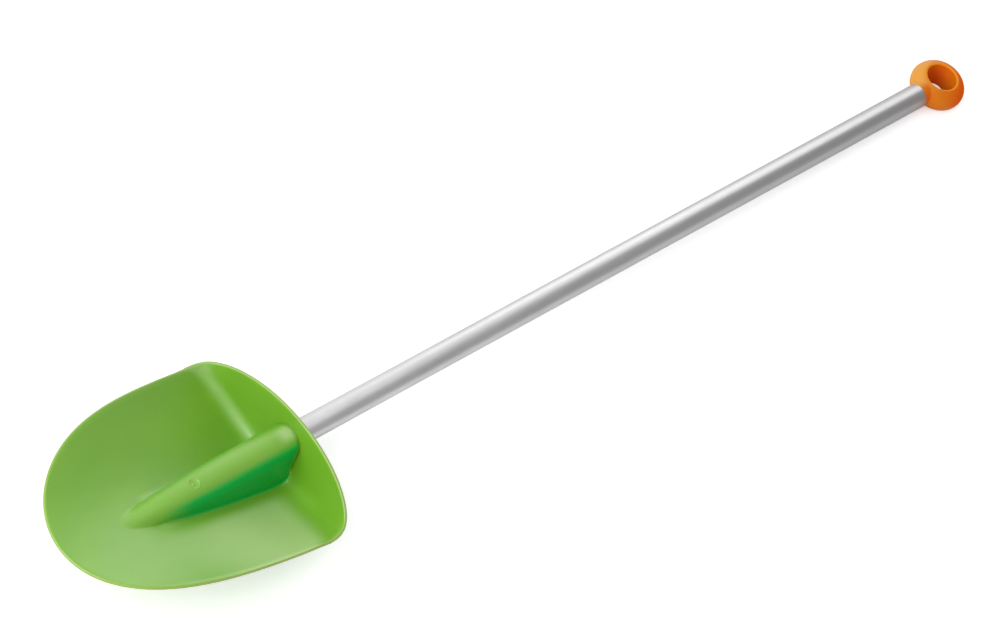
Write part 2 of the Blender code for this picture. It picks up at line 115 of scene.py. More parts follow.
blade = {
    "wall": 0.0028, "halfWidth": 0.0862, "heelX": -0.0491, "cornerX": -0.0820, "tipX": -0.2857,
    "noseCentreX": -0.0285, "nosePowerX": 4.3, "nosePowerY": 2.0, "heelPowerX": 3.4, "heelPowerY": 2.5,
    "floorBackX": -0.057, "floorBackZ": -0.0349, "floorBackHandle": 0.0428, "floorSlope": 0.117,
    "floorTipZ": 0.0208, "floorTipHandle": 0.0843, "curlBack": 4.4, "curlTip": 3.5,
    "wallTopZ": 0.0241, "wallFootX": -0.0480, "footPowerX": 2.7, "footPowerY": 1.55,
    "fillet": 0.013, "filletShare": 0.45,
    "ridgeRadius": 0.0144, "ridgeDraft": math.radians(4.0), "ridgeFoot": 0.0032, "ridgeWall": 0.0009,
    "ridgeCrowding": 1.25, "tightRows": 3, "sinkStart": 0.003, "sinkSpan": 0.005,
    "domeReach": 0.0058, "domeDepth": 0.0019, "domeLow": 0.0005, "domeHigh": 0.0140, "domePower": 2.2,
    "tipBlend": 0.0030, "taperX": -0.110, "ridgeTipX": -0.214, "tipDrop": 0.0062, "tipNarrow": 0.0052,
    "rimSteps": 7, "rimCap": 0.00105,
    "ridgeColumns": 20, "footColumns": 6, "floorColumns": 26, "edgeCrowding": 1.1, "innerShare": 0.957,
    "wallRows": 12, "filletRows": 10, "floorRows": 88,
    "cornerStartX": -0.0680, "cornerEndX": -0.0920, "noseShare": 0.55,
    "searchReach": 0.06, "halvings": 26, "settlings": 8,
    # how the heel corner is eased
    "softColumns": 15, "softRows": 18, "softNear": 0.003, "softFar": 0.019,
}
footColumn = blade["ridgeColumns"] + blade["footColumns"]
lastColumn = footColumn + blade["floorColumns"]
turnRows = blade["wallRows"] + blade["filletRows"]
lastRow = turnRows + blade["floorRows"]


def middleLine():
    # one Bezier curve down the middle of the floor
    b = blade
    points = np.array([
        (b["floorBackX"], b["floorBackZ"]),
        (b["floorBackX"] - b["floorBackHandle"],
         b["floorBackZ"] + b["floorSlope"] * b["floorBackHandle"]),
        (b["tipX"] + b["floorTipHandle"],
         b["floorTipZ"] - b["floorSlope"] * b["floorTipHandle"]),
        (b["tipX"], b["floorTipZ"]),
    ])
    t = np.linspace(-0.1, 1.1, 1201)
    weights = np.array([(1 - t) ** 3, 3 * (1 - t) ** 2 * t, 3 * (1 - t) * t ** 2, t ** 3])
    return (weights.T @ points)[::-1]


floorLine = middleLine()


def floorZ(x, y):
    b = blade
    share = min(max((b["floorBackX"] - x) / (b["floorBackX"] - b["tipX"]), 0.0), 1.0)
    middleZ = float(np.interp(x, floorLine[:, 0], floorLine[:, 1]))
    return middleZ + (b["curlBack"] + (b["curlTip"] - b["curlBack"]) * share) * y * y


def sideY(x):
    b = blade
    share = min(max((b["noseCentreX"] - x) / (b["noseCentreX"] - b["tipX"]), 0.0), 1.0)
    return b["halfWidth"] * (1.0 - share ** b["nosePowerX"]) ** (1.0 / b["nosePowerY"])


def noseX(y):
    b = blade
    share = (1.0 - min(y / b["halfWidth"], 1.0) ** b["nosePowerY"]) ** (1.0 / b["nosePowerX"])
    return b["noseCentreX"] - share * (b["noseCentreX"] - b["tipX"])


def heelX(y, middleX, powerX, powerY):
    share = (1.0 - min(y / blade["halfWidth"], 1.0) ** powerY) ** (1.0 / powerX)
    return blade["cornerX"] + share * (middleX - blade["cornerX"])


def backRim(y):
    b = blade
    cornerZ = floorZ(b["cornerX"], b["halfWidth"])
    z = cornerZ + (b["wallTopZ"] - cornerZ) * (1.0 - min(y / b["halfWidth"], 1.0) ** 2)
    return heelX(y, b["heelX"], b["heelPowerX"], b["heelPowerY"]), z


def wallX(y, z):
    b = blade
    footX = heelX(y, b["wallFootX"], b["footPowerX"], b["footPowerY"])
    footZ = floorZ(footX, y)
    rimX, rimZ = backRim(y)
    return footX + (rimX - footX) * (z - footZ) / (rimZ - footZ)


def taper(x):
    return max((blade["taperX"] - x) / (blade["taperX"] - blade["ridgeTipX"]), 0.0) ** 2


def ridgeRadius(x):
    return blade["ridgeRadius"] - blade["tipNarrow"] * min(taper(x), 1.0)


def crestZ(x):
    return blade["ridgeRadius"] - blade["tipDrop"] * taper(x)


def ridgeCentreZ(x):
    return crestZ(x) - ridgeRadius(x)


def ridgeTurn(x, y, z):
    # how far round the ridge from its crest
    return math.atan2(y, z - crestZ(x) + ridgeRadius(x))


def quarterLength(x):
    return ridgeRadius(x) * (math.pi / 2 - blade["ridgeDraft"])


def ridgePoint(x, length):
    # a length measured from the crest round the back and down the drafted side
    radius = ridgeRadius(x)
    turned = min(length, quarterLength(x)) / radius
    rest = max(length - quarterLength(x), 0.0)
    y = radius * math.sin(turned) + rest * math.sin(blade["ridgeDraft"])
    return y, ridgeCentreZ(x) + radius * math.cos(turned) - rest * math.cos(blade["ridgeDraft"])


def footLength(x):
    low, high = 0.0, quarterLength(x) + blade["searchReach"]
    for _ in range(blade["halvings"]):
        middle = (low + high) / 2
        y, z = ridgePoint(x, middle)
        if z > floorZ(x, y):
            low = middle
        else:
            high = middle
    return low


def softMax(a, b, blend):
    mix = max(blend - abs(a - b), 0.0) / blend
    return max(a, b) + 0.25 * blend * mix ** 2


sections = {}


def sectionAt(x):
    # what every column at this x shares: the length down to the foot, the length of the round,
    # and how far the ridge has begun to sink into the floor
    key = round(x, 7)
    if key not in sections:
        foot = footLength(x)
        quarter = quarterLength(x)
        sunk = ease(blade["sinkStart"] - (foot - quarter), 0.0, blade["sinkSpan"])
        sections[key] = (foot, quarter, sunk)
    return sections[key]


def bendNumbers(start, middle, end, t):
    return (1 - t) ** 2 * start + 2 * t * (1 - t) * middle + t * t * end


def bendPoints(points, t):
    return points[0] * (1 - t) ** 2 + points[1] * 2 * t * (1 - t) + points[2] * t * t


def ridgeShare(column):
    return (column / blade["ridgeColumns"]) ** blade["ridgeCrowding"]


def standingPoint(column, x, length):
    # the ridge stands high over the floor: its side comes down and turns out in a fillet
    b = blade
    f = b["ridgeFoot"]
    if column <= b["ridgeColumns"]:
        return ridgePoint(x, ridgeShare(column) * (length - f))
    t = (column - b["ridgeColumns"]) / b["footColumns"]
    startY, startZ = ridgePoint(x, length - f)
    footY, footZ = ridgePoint(x, length)
    return (bendNumbers(startY, footY, footY + f, t),
            bendNumbers(startZ, footZ, floorZ(x, footY + f), t))


def sinkingPoint(column, x, length):
    # the ridge's round back sinks into the floor towards its tip
    b = blade
    f = b["ridgeFoot"]
    radius = ridgeRadius(x)
    if column <= b["ridgeColumns"]:
        y, z = ridgePoint(x, ridgeShare(column) * (length - f))
        return y, softMax(z, floorZ(x, y), b["tipBlend"])
    t = (column - b["ridgeColumns"]) / b["footColumns"]
    startY = ridgePoint(x, length - f)[0]
    footY = ridgePoint(x, length)[0]
    y = bendNumbers(startY, footY, footY + f, t)
    z = ridgeCentreZ(x) + math.sqrt(max(radius ** 2 - min(y, radius) ** 2, 0.0))
    return y, softMax(z, floorZ(x, y), b["tipBlend"])


def surfacePoint(column, x, outerY):
    b = blade
    foot, quarter, sunk = sectionAt(x)
    reach = max(foot, quarter)
    endY = ridgePoint(x, foot)[0] * (1 - sunk) + ridgePoint(x, reach)[0] * sunk + b["ridgeFoot"]
    if column < footColumn:
        standing = standingPoint(column, x, foot) if sunk < 1.0 else (0.0, 0.0)
        sinking = sinkingPoint(column, x, reach) if sunk > 0.0 else (0.0, 0.0)
        return Vector((x, standing[0] * (1 - sunk) + sinking[0] * sunk,
                       standing[1] * (1 - sunk) + sinking[1] * sunk))
    inner = b["floorColumns"] - 1
    share = 1.0 if column == lastColumn else \
        b["innerShare"] * (1.0 - (1.0 - (column - footColumn) / inner) ** b["edgeCrowding"])
    y = endY + share * (outerY - endY)
    return Vector((x, y, floorZ(x, y)))


noseCornerX = noseX(blade["noseShare"] * blade["halfWidth"])


def sideRowX(row):
    return blade["cornerEndX"] + (noseCornerX - blade["cornerEndX"]) * row / blade["floorRows"]


def rimCorner(x):
    b = blade
    if x < b["cornerX"]:
        return Vector((x, sideY(x), floorZ(x, sideY(x))))
    share = (x - b["cornerX"]) / (b["heelX"] - b["cornerX"])
    y = b["halfWidth"] * (1.0 - share ** b["heelPowerX"]) ** (1.0 / b["heelPowerY"])
    return Vector((x, y, backRim(y)[1]))


def footBends(column, foot, size):
    # from the wall round into the floor; up on the ridge the bend is tight and its end is domed
    b = blade
    up = ease(foot.z - floorZ(foot.x, foot.y), b["domeLow"], b["domeHigh"])
    wide = [Vector((wallX(foot.y, foot.z + size), foot.y, foot.z + size)), foot,
            surfacePoint(column, foot.x - size, b["halfWidth"])]
    tight = [foot + Vector((0.0, 0.0, b["ridgeWall"])), foot,
             surfacePoint(column, foot.x - b["ridgeWall"], b["halfWidth"])]
    domeStart = surfacePoint(column, foot.x - b["domeReach"], b["halfWidth"])
    bends = []
    for row in range(b["filletRows"]):
        around = bendPoints(wide, row / b["filletRows"])
        onRidge = bendPoints(tight, min(row / b["tightRows"], 1.0))
        if row > b["tightRows"]:
            share = (row - b["tightRows"]) / (b["filletRows"] - b["tightRows"])
            onRidge = tight[2].lerp(domeStart, share)
        bends.append(around.lerp(onRidge, up))
    away = size + (b["domeReach"] - size) * up
    return bends, surfacePoint(column, foot.x - away, b["halfWidth"]), up


def bladeColumn(column):
    b = blade
    if column == lastColumn:
        corner = [rimCorner(b["cornerStartX"] + (b["cornerEndX"] - b["cornerStartX"]) * row / turnRows)
                  for row in range(turnRows)]
        return corner + [rimCorner(sideRowX(row)) for row in range(b["floorRows"] + 1)]
    foot = surfacePoint(column, b["wallFootX"], b["halfWidth"])
    for _ in range(b["settlings"]):
        foot = surfacePoint(column, wallX(foot.y, foot.z), b["halfWidth"])
    rimX, rimZ = backRim(foot.y)
    size = min(b["fillet"], b["filletShare"] * (rimZ - foot.z))
    bends, floorStart, up = footBends(column, foot, size)
    rim = Vector((rimX, foot.y, rimZ))
    points = [rim.lerp(bends[0], row / b["wallRows"]) for row in range(b["wallRows"])] + bends
    end = surfacePoint(column, noseCornerX, sideY(noseCornerX))
    for _ in range(b["settlings"]):
        end = surfacePoint(column, noseX(end.y), sideY(noseCornerX))
    for row in range(b["floorRows"] + 1):
        x = floorStart.x + (end.x - floorStart.x) * row / b["floorRows"]
        points.append(surfacePoint(column, x, sideY(sideRowX(row))))
    if up > 0.0:
        turned = min(ridgeTurn(foot.x, foot.y, foot.z), math.pi / 2)
        inward = Vector((0.0, -math.sin(turned), -math.cos(turned)))
        for row, point in enumerate(points):
            near = row / b["wallRows"]
            if row >= b["wallRows"]:
                near = max(1.0 - (foot.x - point.x) / b["domeReach"], 0.0) ** b["domePower"]
            points[row] = point + inward * b["domeDepth"] * up * near
    return points


gate = {"x": -0.151, "radius": 0.0043, "depth": 0.0010, "bowl": 2.6,
        "lip": 0.00012, "lipAt": 1.04, "lipWidth": 0.10,
        "nub": 0.00085, "nubRadius": 0.00062, "nubX": -0.00105, "nubY": -0.0007,
        "ragged": 0.25, "raggedPoints": 5.0, "raggedTurn": 0.7,
        "reach": 0.0062, "reachZ": 0.002, "cuts": 7}


def sinkGate(obj):
    # the gate mark: a shallow round dimple with the snapped-off stub of the sprue in it
    g = gate
    centre = Vector((g["x"], 0.0, crestZ(g["x"])))
    unpickAll(obj, "FACE")
    for face in obj.data.polygons:
        face.select = (face.center - centre).length < g["reach"] and face.normal.z > 0.5
    bpy.ops.object.mode_set(mode="EDIT")
    bpy.ops.mesh.subdivide(number_cuts=g["cuts"])
    bpy.ops.object.mode_set(mode="OBJECT")
    for vertex in obj.data.vertices:
        x, y = vertex.co.x - centre.x, vertex.co.y
        if abs(vertex.co.z - centre.z) > g["reachZ"] or math.hypot(x, y) > g["reach"]:
            continue
        r = math.hypot(x, y) / g["radius"]
        if r < 1.0:
            vertex.co.z -= g["depth"] * (1.0 - r ** g["bowl"])
        vertex.co.z += g["lip"] * math.exp(-((r - g["lipAt"]) / g["lipWidth"]) ** 2)
        stub = math.hypot(x - g["nubX"], y - g["nubY"]) / g["nubRadius"]
        around = math.atan2(y - g["nubY"], x - g["nubX"])
        ragged = 1.0 + g["ragged"] * math.sin(g["raggedPoints"] * around + g["raggedTurn"])
        vertex.co.z += g["nub"] * math.exp(-(stub * ragged) ** 2)


def easeCorner(columns):
    # near the heel corner the wall's crease is let go: the skin keeps its rim and its far bends,
    # and each point in between settles among its four neighbours
    b = blade
    grid = np.array([[tuple(point) for point in column] for column in columns])
    firstColumn, farRow = lastColumn - b["softColumns"], turnRows + b["softRows"]
    corner = np.array(rimCorner(b["cornerX"]))
    free = {}
    for column in range(firstColumn + 1, lastColumn):
        for row in range(1, farRow):
            free[column, row] = len(free)
    sums, targets = [], []
    for column in range(firstColumn, lastColumn):
        for row in range(1, farRow + 1):
            around = [(column + 1, row), (column - 1, row), (column, row + 1), (column, row - 1)]
            away = np.linalg.norm(grid[column, row] - corner)
            keep = ease(away, b["softNear"], b["softFar"])
            target = keep * (sum(grid[place] for place in around) - 4 * grid[column, row])
            weights = np.zeros(len(free))
            for place, weight in [(place, 1.0) for place in around] + [((column, row), -4.0)]:
                if place in free:
                    weights[free[place]] += weight
                else:
                    target = target - weight * grid[place]
            sums.append(weights)
            targets.append(target)
    settled = np.linalg.lstsq(np.array(sums), np.array(targets), rcond=None)[0]
    for (column, row), number in free.items():
        grid[column, row] = settled[number]
    return grid


mouth = {"x": -0.0475, "reach": 0.0070, "innerY": -0.001, "outerY": 0.0230,
         "low": -0.0450, "high": 0.0155, "rounds": 24}


def softenMouth(obj, inner):
    # behind the wall, where the tube's channel opens: the second skin's tight folds are smoothed out
    m = mouth
    unpickAll(obj, "VERT")
    for vertex in list(obj.data.vertices)[inner:]:
        x, y, z = vertex.co
        atMouth = abs(x - m["x"]) < m["reach"] and m["low"] < z < m["high"]
        vertex.select = atMouth and m["innerY"] < abs(y) < m["outerY"]
    bpy.ops.object.mode_set(mode="EDIT")
    bpy.ops.mesh.vertices_smooth(factor=0.5, repeat=m["rounds"])
    bpy.ops.object.mode_set(mode="OBJECT")


def roundRim(obj, inner):
    # the wall's second skin is numbered like the first, so an edge across the rim joins i and i + inner
    b = blade
    unpickAll(obj, "EDGE")
    places = KDTree(len(obj.data.edges) * b["rimSteps"])
    for edge in obj.data.edges:
        first, second = sorted(edge.vertices)
        if second - first != inner:
            continue
        edge.select = True
        start, end = obj.data.vertices[first].co, obj.data.vertices[second].co
        for step in range(1, b["rimSteps"] + 1):
            places.insert(start.lerp(end, step / (b["rimSteps"] + 1)), step)
    places.balance()
    bpy.ops.object.mode_set(mode="EDIT")
    bpy.ops.mesh.subdivide(number_cuts=b["rimSteps"])
    bpy.ops.object.mode_set(mode="OBJECT")
    # the rim mark carries a painted highlight: a paler, yellower line along the middle of the rounded rim
    marks = obj.data.attributes.new("rim", "FLOAT", "POINT")
    outward = [(vertex, vertex.normal.copy()) for vertex in list(obj.data.vertices)[2 * inner:]]
    for vertex, normal in outward:
        across = 2.0 * places.find(vertex.co)[1] / (b["rimSteps"] + 1) - 1.0
        vertex.co += normal * b["rimCap"] * math.sqrt(1.0 - across * across)
        marks.data[vertex.index].value = 1.0 - across * across
    obj.data.update()


# where painted shade and painted highlight are laid on the blade
paintedLight = {"turnFrom": math.radians(30), "turnTo": math.radians(58), "reach": 0.0030, "flankY": 0.024,
        "frontFrom": -0.200, "frontTo": -0.155, "backFrom": -0.0510, "backTo": -0.0495,
        "highlightFrom": 0.019, "highlightTo": 0.031, "highlightFrontFrom": -0.210, "highlightFrontTo": -0.125,
        "highlightBackFrom": 0.027, "highlightBackTo": 0.005, "farSide": 0.3,
        "footShare": 0.45, "footFrom": 0.010, "footTo": 0.002,
        "footRiseFrom": 0.004, "footRiseTo": 0.012,
        "archShare": 0.9, "archFrom": -0.069, "archTo": -0.058, "archTurnFrom": math.radians(8),
        "archTurnTo": math.radians(40)}


def markPoints(obj, name, shareAt):
    marks = obj.data.attributes.new(name, "FLOAT", "POINT")
    for vertex in obj.data.vertices:
        marks.data[vertex.index].value = shareAt(vertex)


def onTop(vertex):
    # inside the scoop, not on its underside or behind its wall
    return vertex.normal.z > vertex.normal.x


def bladePaintedShade(vertex):
    # painted shade: the steep sides of the ridge, and the floor just at their foot, are painted a deeper
    # green as if in shadow
    t = paintedLight
    x, y, z = vertex.co.x, abs(vertex.co.y), vertex.co.z
    if y > t["flankY"] or x < t["frontFrom"] or not onTop(vertex):
        return 0.0
    side = 1.0 if vertex.co.y < 0.0 else t["farSide"]
    flankY = ridgeRadius(x) + max(ridgeCentreZ(x) - z, 0.0) * math.tan(blade["ridgeDraft"])
    onFlank = ease(ridgeTurn(x, y, z), t["turnFrom"], t["turnTo"])
    onFlank *= 1.0 - ease(y - flankY, 0.0, t["reach"])
    return side * onFlank * riseAndFall(x, t["frontFrom"], t["frontTo"], t["backFrom"], t["backTo"])


def bladePaintedHighlight(vertex):
    # painted highlight: a paler sheen painted on the near half of the floor, the foot of the far wall, and
    # the top of the ridge's back end
    t = paintedLight
    if not onTop(vertex):
        return 0.0
    x, y, z = vertex.co
    crease = heelX(abs(y), blade["wallFootX"], blade["footPowerX"], blade["footPowerY"])
    along = riseAndFall(x, t["highlightFrontFrom"], t["highlightFrontTo"],
                        crease - t["highlightBackFrom"], crease - t["highlightBackTo"])
    nearFloor = ease(-y, t["highlightFrom"], t["highlightTo"]) * along
    farFoot = ease(y, t["highlightFrom"], t["highlightTo"])
    farFoot *= ease(x, crease - t["footFrom"], crease - t["footTo"])
    farFoot *= 1.0 - ease(z - floorZ(x, y), t["footRiseFrom"], t["footRiseTo"])
    arch = 0.0
    if abs(y) < t["highlightFrom"]:
        arch = riseAndFall(x, t["archFrom"], t["archTo"], t["backFrom"], t["backTo"])
        arch *= 1.0 - ease(ridgeTurn(x, abs(y), z), t["archTurnFrom"], t["archTurnTo"])
    return nearFloor + t["footShare"] * farFoot + t["archShare"] * arch


def makeBlade():
    bpy.ops.object.select_all(action="DESELECT")
    bpy.ops.mesh.primitive_grid_add(x_subdivisions=lastRow, y_subdivisions=lastColumn, size=2.0)
    obj = bpy.context.object
    obj.name = "bladeShell"
    columns = easeCorner([bladeColumn(column) for column in range(lastColumn + 1)])
    for vertex in obj.data.vertices:
        row = round((vertex.co.x + 1.0) / 2.0 * lastRow)
        column = round((vertex.co.y + 1.0) / 2.0 * lastColumn)
        vertex.co = columns[column, row]
    obj.data.update()
    mirror = obj.modifiers.new("otherHalf", "MIRROR")
    mirror.use_axis = (False, True, False)
    mirror.merge_threshold = 0.00002
    applyAll(obj)
    tidyMesh(obj, 0.00001, 40)
    if sum(face.normal.z * face.area for face in obj.data.polygons) < 0:
        obj.data.flip_normals()
    wall = obj.modifiers.new("wall", "SOLIDIFY")
    wall.thickness = blade["wall"]
    wall.offset = -1.0
    wall.use_even_offset = True
    inner = len(obj.data.vertices)
    applyAll(obj)
    softenMouth(obj, inner)
    roundRim(obj, inner)
    sinkGate(obj)
    # painted shade and painted highlight, kept as point attributes
    markPoints(obj, "paintedShade", bladePaintedShade)
    markPoints(obj, "paintedHighlight", bladePaintedHighlight)
    return obj


web = {"thickness": 0.0026, "count": 5, "recess": 0.0040, "mouth": 0.0085, "edge": 0.0004,
       "points": 96, "searchReach": 0.08, "halvings": 30}


def webEdge(x, bottomZ, angle):
    # where a ray from the tube's axis meets the web's edge
    radius = ridgeRadius(x) - blade["wall"] / 2
    centreZ = ridgeCentreZ(x)
    dy, dz = math.sin(angle), math.cos(angle)
    low, high = 0.0, web["searchReach"]
    for _ in range(web["halvings"]):
        middle = (low + high) / 2
        y, z = abs(dy * middle), dz * middle
        if z > centreZ:
            inside = math.hypot(y, z - centreZ) < radius
        else:
            inside = z > bottomZ and y < radius + (centreZ - z) * math.tan(blade["ridgeDraft"])
        low, high = (middle, high) if inside else (low, middle)
    return dy * low, dz * low


def makeWebs():
    # cross webs under the ridge: plates with the tube's hole, and a last one that stops the tube
    b, w = blade, web
    mouthX = b["wallFootX"] - w["mouth"]
    stopX = tube["frontX"] - tube["gap"] - w["thickness"] / 2
    webs = []
    for number in range(w["count"] + 1):
        x = mouthX + (stopX - mouthX) * number / w["count"]
        bottomZ = floorZ(x, 0.0) - b["wall"] + w["recess"]
        bpy.ops.object.select_all(action="DESELECT")
        bpy.ops.mesh.primitive_circle_add(vertices=w["points"], radius=1.0, fill_type="NOTHING")
        outer = bpy.context.object
        angles = [math.atan2(vertex.co.x, vertex.co.y) for vertex in outer.data.vertices]
        for vertex, angle in zip(outer.data.vertices, angles):
            y, z = webEdge(x, bottomZ, angle)
            vertex.co = (0.0, y, z)
        bpy.ops.object.mode_set(mode="EDIT")
        bpy.ops.mesh.select_all(action="SELECT")
        if number == w["count"]:
            bpy.ops.mesh.edge_face_add()
            bpy.ops.object.mode_set(mode="OBJECT")
        else:
            bpy.ops.object.mode_set(mode="OBJECT")
            bpy.ops.object.select_all(action="DESELECT")
            bpy.ops.mesh.primitive_circle_add(vertices=w["points"], fill_type="NOTHING",
                                              radius=tube["radius"] + tube["gap"])
            inner = bpy.context.object
            for vertex in inner.data.vertices:
                vertex.co = (0.0, vertex.co.x, vertex.co.y)
            outer = joinPieces([outer, inner], "web")
            bpy.ops.object.mode_set(mode="EDIT")
            bpy.ops.mesh.select_all(action="SELECT")
            bpy.ops.mesh.bridge_edge_loops()
            bpy.ops.object.mode_set(mode="OBJECT")
        outer.data.transform(Matrix.Translation((x, 0.0, 0.0)))
        tidyMesh(outer, 0.000001, 35)
        plate = outer.modifiers.new("plate", "SOLIDIFY")
        plate.thickness = w["thickness"]
        plate.offset = 0.0
        edge = outer.modifiers.new("edge", "BEVEL")
        edge.limit_method = "ANGLE"
        edge.angle_limit = math.radians(50)
        edge.width = w["edge"]
        edge.segments = 2
        applyAll(outer)
        webs.append(outer)
    return joinPieces(webs, "socketWebs")


bladeShell = makeBlade()
socketWebs = makeWebs()
for piece in (bladeShell, socketWebs):
    layDown(piece)
for vertex in bladeShell.data.vertices:
    if vertex.co.z < 0.0:
        vertex.co.z = 0.0      # the heel is worn flat where it stands
for piece in (bladeShell, socketWebs):
    tidyMesh(piece, 0.000002, 34)
print("stage: blade shaped,", len(bladeShell.data.polygons), "faces")


def makeTube():
    t = tube
    bpy.ops.object.select_all(action="DESELECT")
    bpy.ops.mesh.primitive_cylinder_add(vertices=t["sides"], radius=t["radius"], depth=t["length"],
                                        end_fill_type="NOTHING", rotation=(0.0, math.pi / 2, 0.0),
                                        location=(t["frontX"] + t["length"] / 2, 0.0, 0.0))
    obj = bpy.context.object
    obj.name = "bareTube"
    wall = obj.modifiers.new("wall", "SOLIDIFY")
    wall.thickness = t["wall"]
    wall.offset = -1.0
    edge = obj.modifiers.new("sawnEdge", "BEVEL")
    edge.limit_method = "ANGLE"
    edge.angle_limit = math.radians(60)
    edge.width = t["edge"]
    edge.segments = 2
    applyAll(obj)
    layDown(obj)
    tidyMesh(obj, 0.000002, 35)
    return obj


bareTube = makeTube()
print("stage: tube made")


knob = {
    "radius": 0.0229, "topHeight": 0.0108, "bottomHeight": 0.0103, "topPower": 1.25, "bottomPower": 0.8,
    "holeTop": 0.0127, "holeBottom": 0.0088, "lip": 0.0010,
    "fromTube": 0.0242, "spigot": 0.030, "steps": 160, "sideSteps": 18, "lipSteps": 6, "voxel": 0.00038,
    # the part of the neck that is smoothed
    "neckSoft": 26, "neckFrom": 0.0008, "neckInner": 0.0085, "neckOuter": 0.0145, "neckFromHole": 0.0155,
    "neckBite": 0.0006, "spigotBite": 0.004, "rodSides": 96,
}

# painted light on the knob: shade on the side turned from the light and deep in the hole, highlight on the
# side turned to the light and along the top lip
knobPaintedLight = {
    "shadeWay": (0.6, -0.6, 0.3), "shadeFrom": 0.25, "shadeTo": 0.75,
    "highlightWay": (-0.45, 0.75, 0.48), "highlightFrom": 0.35, "highlightTo": 0.95,
    "holeShade": 0.75, "holeHighlight": 0.16, "holeFrom": -0.4, "holeTo": 0.6,
    "holeMargin": 0.0001, "pastNeck": 0.004,
    "lipFrom": 0.0004, "lipTo": 0.0011, "lipDepth": 0.0012,
}


def beadProfile():
    # outside from the top lip to the bottom lip, then up the wall of the hole, which narrows downwards
    k = knob
    profile = []
    for step in range(2 * k["sideSteps"] + 1):
        angle = math.pi / 2 * (1 - step / k["sideSteps"])
        end = "top" if angle > 0 else "bottom"
        lip = k["hole" + end.capitalize()] + k["lip"]
        across = abs(math.cos(angle)) ** k[end + "Power"]
        up = abs(math.sin(angle)) ** k[end + "Power"]
        r = lip + (k["radius"] - lip) * across
        profile.append((r, math.copysign(k[end + "Height"] * up, angle)))
    around = [math.pi / 2 * (step + 1) / k["lipSteps"] for step in range(k["lipSteps"])]
    lips = ((-1, k["bottomHeight"], k["holeBottom"], around),
            (1, k["topHeight"], k["holeTop"], around[::-1]))
    for side, height, hole, angles in lips:
        for angle in angles:
            r = hole + k["lip"] * (1 - math.sin(angle))
            profile.append((r, side * (height - k["lip"] * (1 - math.cos(angle)))))
    return profile


def addRod(radius, fromX, toX):
    bpy.ops.object.select_all(action="DESELECT")
    bpy.ops.mesh.primitive_cylinder_add(vertices=knob["rodSides"], radius=radius, depth=toX - fromX,
                                        rotation=(0.0, math.pi / 2, 0.0),
                                        location=((fromX + toX) / 2, 0.0, 0.0))
    rod = bpy.context.object
    rod.data.transform(rod.matrix_world)
    rod.matrix_world = Matrix.Identity(4)
    return rod


def softenNeck(bead, knobX, neckX):
    # the neck runs into the bead in a soft hollow
    k = knob
    unpickAll(bead, "VERT")
    for vertex in bead.data.vertices:
        place = vertex.co
        fromAxis = math.hypot(place.y, place.z)
        fromHole = math.hypot(place.x - knobX, place.y)
        along = place.x > neckX + k["neckFrom"] and place.x < knobX
        vertex.select = along and k["neckInner"] < fromAxis < k["neckOuter"] and \
            fromHole > k["neckFromHole"]
    bpy.ops.object.mode_set(mode="EDIT")
    bpy.ops.mesh.vertices_smooth(factor=0.5, repeat=k["neckSoft"])
    bpy.ops.object.mode_set(mode="OBJECT")


def makeKnob():
    k = knob
    backX = tube["frontX"] + tube["length"]
    neckX = backX + tube["gap"]
    knobX = backX + k["fromTube"]
    profile = beadProfile()
    bpy.ops.object.select_all(action="DESELECT")
    bpy.ops.mesh.primitive_circle_add(vertices=len(profile), radius=1.0, fill_type="NOTHING")
    bead = bpy.context.object
    for vertex, (r, z) in zip(bead.data.vertices, profile):
        vertex.co = (r, 0.0, z)
    bpy.ops.object.mode_set(mode="EDIT")
    bpy.ops.mesh.select_all(action="SELECT")
    bpy.ops.mesh.spin(steps=k["steps"], angle=2 * math.pi, center=(0.0, 0.0, 0.0), axis=(0.0, 0.0, 1.0))
    bpy.ops.object.mode_set(mode="OBJECT")
    bead.data.transform(Matrix.Translation((knobX, 0.0, 0.0)))
    tidyMesh(bead, 0.00001, 40)
    neck = addRod(tube["radius"], neckX, knobX - k["holeTop"] - k["lip"] - k["neckBite"])
    spigot = addRod(tube["radius"] - tube["wall"] - tube["gap"],
                    neckX - k["spigot"], neckX + k["spigotBite"])
    for rod in (neck, spigot):
        union = bead.modifiers.new("neck", "BOOLEAN")
        union.solver = "EXACT"
        union.operation = "UNION"
        union.object = rod
    remesh = bead.modifiers.new("oneSkin", "REMESH")
    remesh.mode = "VOXEL"
    remesh.voxel_size = k["voxel"]
    applyAll(bead)
    bpy.data.objects.remove(neck)
    bpy.data.objects.remove(spigot)
    softenNeck(bead, knobX, neckX)
    topLip = k["holeTop"] + k["lip"] / 2
    t = knobPaintedLight

    def fromHoleAxis(vertex):
        return math.hypot(vertex.co.x - knobX, vertex.co.y)

    def turnedTo(vertex, holeShare, way, low, high):
        # how much a point looks one way; in the hole, how much it looks to the near side
        nearHole = fromHoleAxis(vertex) < k["holeTop"] + t["holeMargin"]
        if nearHole and vertex.co.x > neckX + t["pastNeck"]:
            return holeShare * ease(-vertex.normal.y, t["holeFrom"], t["holeTo"])
        return ease(vertex.normal.dot(Vector(way)), low, high)

    # painted shade
    def paintedShade(vertex):
        return turnedTo(vertex, t["holeShade"], t["shadeWay"], t["shadeFrom"], t["shadeTo"])

    # painted highlight
    def paintedHighlight(vertex):
        return turnedTo(vertex, t["holeHighlight"], t["highlightWay"], t["highlightFrom"], t["highlightTo"])

    # painted highlight along the top lip of the hole
    def lipHighlight(vertex):
        if vertex.co.z <= k["topHeight"] - t["lipDepth"]:
            return 0.0
        return 1.0 - ease(abs(fromHoleAxis(vertex) - topLip), t["lipFrom"], t["lipTo"])

    for name, shareAt in (("paintedShade", paintedShade), ("paintedHighlight", paintedHighlight), ("rim", lipHighlight)):
        markPoints(bead, name, shareAt)
    return bead


